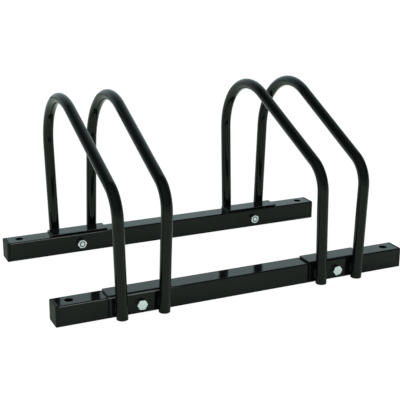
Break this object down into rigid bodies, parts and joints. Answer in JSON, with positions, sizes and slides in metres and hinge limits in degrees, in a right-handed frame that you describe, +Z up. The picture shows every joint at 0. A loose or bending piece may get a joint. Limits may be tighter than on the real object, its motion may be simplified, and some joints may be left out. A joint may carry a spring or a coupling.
{
  "type": "bike rack",
  "caption": "Low floor rack for bicycles in glossy black steel: bent tube hoops welded to angle brackets, bolted onto square-tube rails with plastic end caps and floor anchor holes.",
  "frame": {"origin": "on the floor, midway between the rails' ends and between the front and rear feet", "axes": "+X along the rails to the right, -Y to the front where the wheel rolls in, +Z up"},
  "size_m": [0.54, 0.323, 0.264],
  "materials": {
    "black_paint": "glossy black paint",
    "black_plastic": "fine matte moulding",
    "zinc_plating": "bright zinc plating"
  },
  "bodies": {
    "root": {"front_rail": "black_paint", "rear_rail": "black_paint", "rail_cap_front_left": "black_plastic", "rail_cap_front_right": "black_plastic", "rail_cap_rear_left": "black_plastic", "rail_cap_rear_right": "black_plastic", "bracket_front_left": "black_paint", "bracket_front_right": "black_paint", "bracket_rear_left": "black_paint", "bracket_rear_right": "black_paint", "bolt_front_left": "zinc_plating", "nut_front_left": "zinc_plating", "bolt_front_right": "zinc_plating", "nut_front_right": "zinc_plating", "bolt_rear_left": "zinc_plating", "nut_rear_left": "zinc_plating", "bolt_rear_right": "zinc_plating", "nut_rear_right": "zinc_plating", "hoop_left_outer": "black_paint", "foot_plug_front_left_outer": "black_plastic", "weld_front_left_outer_left": "black_paint", "weld_front_left_outer_right": "black_paint", "foot_plug_rear_left_outer": "black_plastic", "weld_rear_left_outer_left": "black_paint", "weld_rear_left_outer_right": "black_paint", "hoop_left_inner": "black_paint", "foot_plug_front_left_inner": "black_plastic", "weld_front_left_inner_left": "black_paint", "weld_front_left_inner_right": "black_paint", "foot_plug_rear_left_inner": "black_plastic", "weld_rear_left_inner_left": "black_paint", "weld_rear_left_inner_right": "black_paint", "hoop_right_inner": "black_paint", "foot_plug_front_right_inner": "black_plastic", "weld_front_right_inner_left": "black_paint", "weld_front_right_inner_right": "black_paint", "foot_plug_rear_right_inner": "black_plastic", "weld_rear_right_inner_left": "black_paint", "weld_rear_right_inner_right": "black_paint", "hoop_right_outer": "black_paint", "foot_plug_front_right_outer": "black_plastic", "weld_front_right_outer_left": "black_paint", "weld_front_right_outer_right": "black_paint", "foot_plug_rear_right_outer": "black_plastic", "weld_rear_right_outer_left": "black_paint", "weld_rear_right_outer_right": "black_paint"}
  },
  "joints": []
}
